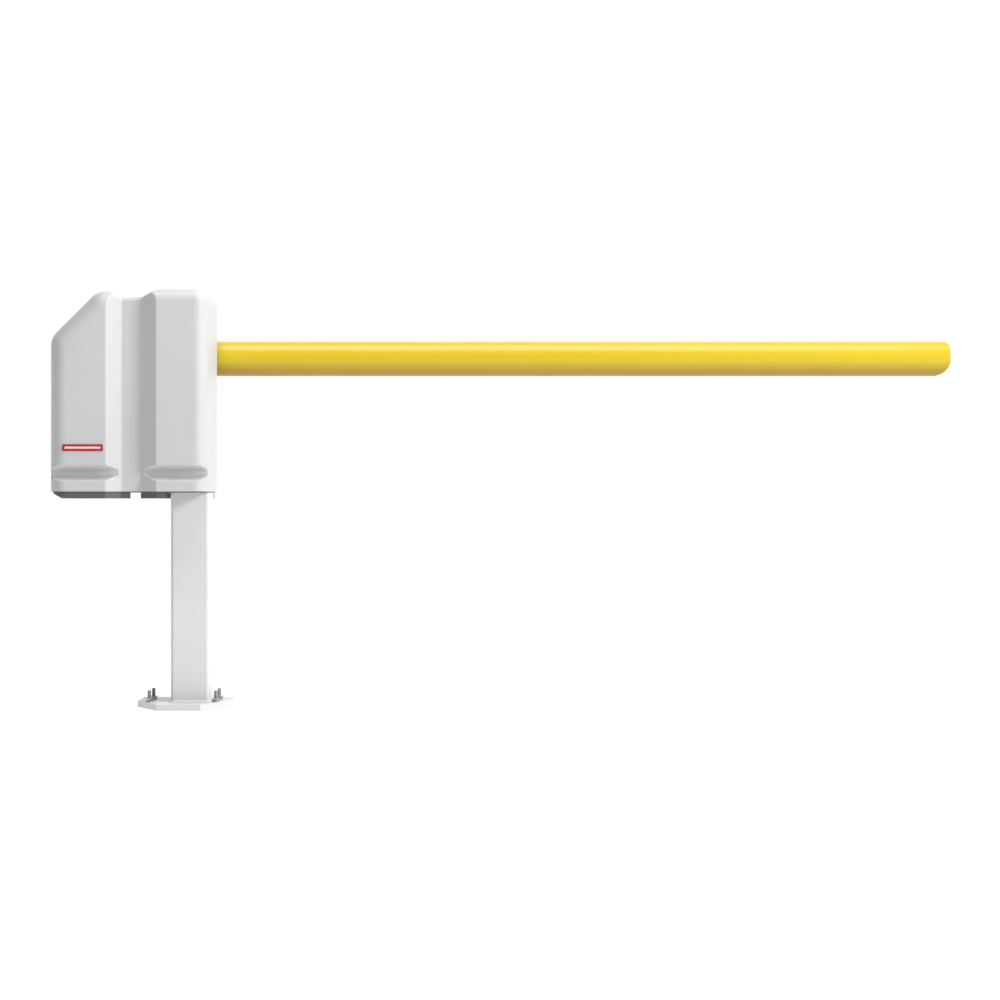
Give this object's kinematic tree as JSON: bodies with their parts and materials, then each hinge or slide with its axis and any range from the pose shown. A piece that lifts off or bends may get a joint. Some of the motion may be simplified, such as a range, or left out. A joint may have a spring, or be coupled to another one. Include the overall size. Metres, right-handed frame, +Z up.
{
  "type": "parking barrier gate",
  "caption": "Post-mounted parking barrier: two-lobed lift-off cover over a worm drive, with a round horizontal arm that swings up.",
  "frame": {"origin": "on the post's axis at the underside of the base plate, in the middle of its cable hole", "axes": "+Z up, -Y towards the cover's front, +X along the closed arm towards its tip"},
  "size_m": [2.377, 0.347, 1.09],
  "materials": {
    "cover_plastic": "fine satin texture",
    "badge_red": "plain gloss",
    "white_paint": "powder coat",
    "dark_paint": "powder coat",
    "frame_paint": "satin",
    "galvanised": "galvanised",
    "fastener_zinc": "zinc plated",
    "bright_steel": "ground",
    "bronze": "machined",
    "cast_grey": "painted casting",
    "motor_black": "semi gloss",
    "cast_alloy": "die cast",
    "lock_chrome": "plated",
    "arm_yellow": "satin gloss",
    "black_rubber": "matt",
    "black_plastic": "moulded",
    "button_red": "moulded",
    "box_grey": "moulded",
    "board_green": "solder mask",
    "terminal_grey": "moulded",
    "core_steel": "laminated",
    "battery_case": "moulded"
  },
  "bodies": {
    "chassis": {"anchor_nuts": "fastener_zinc", "anchor_studs": "fastener_zinc", "anchor_washers": "fastener_zinc", "back_sheet": "galvanised", "base_plate": "white_paint", "batteries": "battery_case", "battery_tray": "frame_paint", "board_parts": "black_plastic", "cable_gland": "black_plastic", "chassis_pan": "dark_paint", "control_board": "board_green", "control_box": "box_grey", "control_lid": "box_grey", "cover_seal": "black_rubber", "drive_upright": "frame_paint", "gearbox_bolts": "fastener_zinc", "gearbox_case": "cast_grey", "gearbox_cover": "cast_grey", "limit_switches": "black_plastic", "lock_keeper": "galvanised", "motor_bracket": "frame_paint", "motor_cable": "black_rubber", "motor_can": "motor_black", "motor_end_bell": "cast_alloy", "output_bearings": "bright_steel", "post_bolts": "fastener_zinc", "post_cap": "white_paint", "post_tube": "white_paint", "post_weld": "white_paint", "rubber_bumpers": "black_rubber", "stop_posts": "galvanised", "switch_box": "box_grey", "switch_bracket": "galvanised", "terminal_strip": "terminal_grey", "transformer": "core_steel", "worm_bearings": "bright_steel"},
    "arm": {"output_shaft": "bright_steel", "worm_wheel": "bronze", "shaft_keys": "bright_steel", "limit_cams": "black_plastic", "stop_lever": "bright_steel", "arm_hub": "frame_paint", "arm_saddle": "frame_paint", "u_bolts": "fastener_zinc", "u_bolt_nuts": "fastener_zinc", "arm_tube": "arm_yellow", "arm_end_cap": "arm_yellow", "arm_rear_cap": "arm_yellow"},
    "drive": {"worm_shaft": "bright_steel", "shaft_coupling": "bright_steel", "hand_wheel": "black_plastic"},
    "cover": {"cover_shell": "cover_plastic", "cover_badge": "badge_red", "lock_body": "lock_chrome"},
    "lock": {"lock_plug": "lock_chrome", "lock_cam": "bright_steel"},
    "open_switch_lever": {"switch_lever_open": "black_plastic"},
    "closed_switch_lever": {"switch_lever_closed": "black_plastic"},
    "rocker": {"power_rocker": "black_plastic"},
    "reset": {"reset_button": "button_red"}
  },
  "joints": [
    {"name": "arm_swing", "type": "hinge", "parent": "chassis", "child": "arm", "pos_m": [-0.03, 0, 0.925], "axis": [0, -1, 0], "range_deg": [0, 90]},
    {"name": "drive_spin", "type": "hinge", "parent": "chassis", "child": "drive", "pos_m": [-0.088, 0.03, 0.925], "axis": [0, 0, 1], "range_deg": [0, 2700]},
    {"name": "cover_lift", "type": "slide", "parent": "chassis", "child": "cover", "axis": [0, 0, 1], "range_m": [0, 0.56]},
    {"name": "lock_turn", "type": "hinge", "parent": "cover", "child": "lock", "pos_m": [-0.356, 0.02, 0.64], "axis": [1, 0, 0], "range_deg": [0, 90]},
    {"name": "open_lever_press", "type": "hinge", "parent": "chassis", "child": "open_switch_lever", "pos_m": [-0.064, -0.033, 0.965], "axis": [0, -1, 0], "range_deg": [0, 4], "stiffness_Nm_per_rad": 0.05, "springref_deg": -2.86},
    {"name": "closed_lever_press", "type": "hinge", "parent": "chassis", "child": "closed_switch_lever", "pos_m": [-0.064, -0.043, 0.965], "axis": [0, -1, 0], "range_deg": [0, 4], "stiffness_Nm_per_rad": 0.05, "springref_deg": -2.86},
    {"name": "power_rock", "type": "hinge", "parent": "chassis", "child": "rocker", "pos_m": [-0.308, 0.047, 0.714], "axis": [1, 0, 0], "range_deg": [-8, 8]},
    {"name": "reset_press", "type": "slide", "parent": "chassis", "child": "reset", "axis": [0, 1, 0], "range_m": [0, 0.004], "stiffness_N_per_m": 300, "springref_m": -0.003}
  ],
  "couplings": [
    {"joint": "drive_spin", "follows": "arm_swing", "ratio": 30}
  ]
}
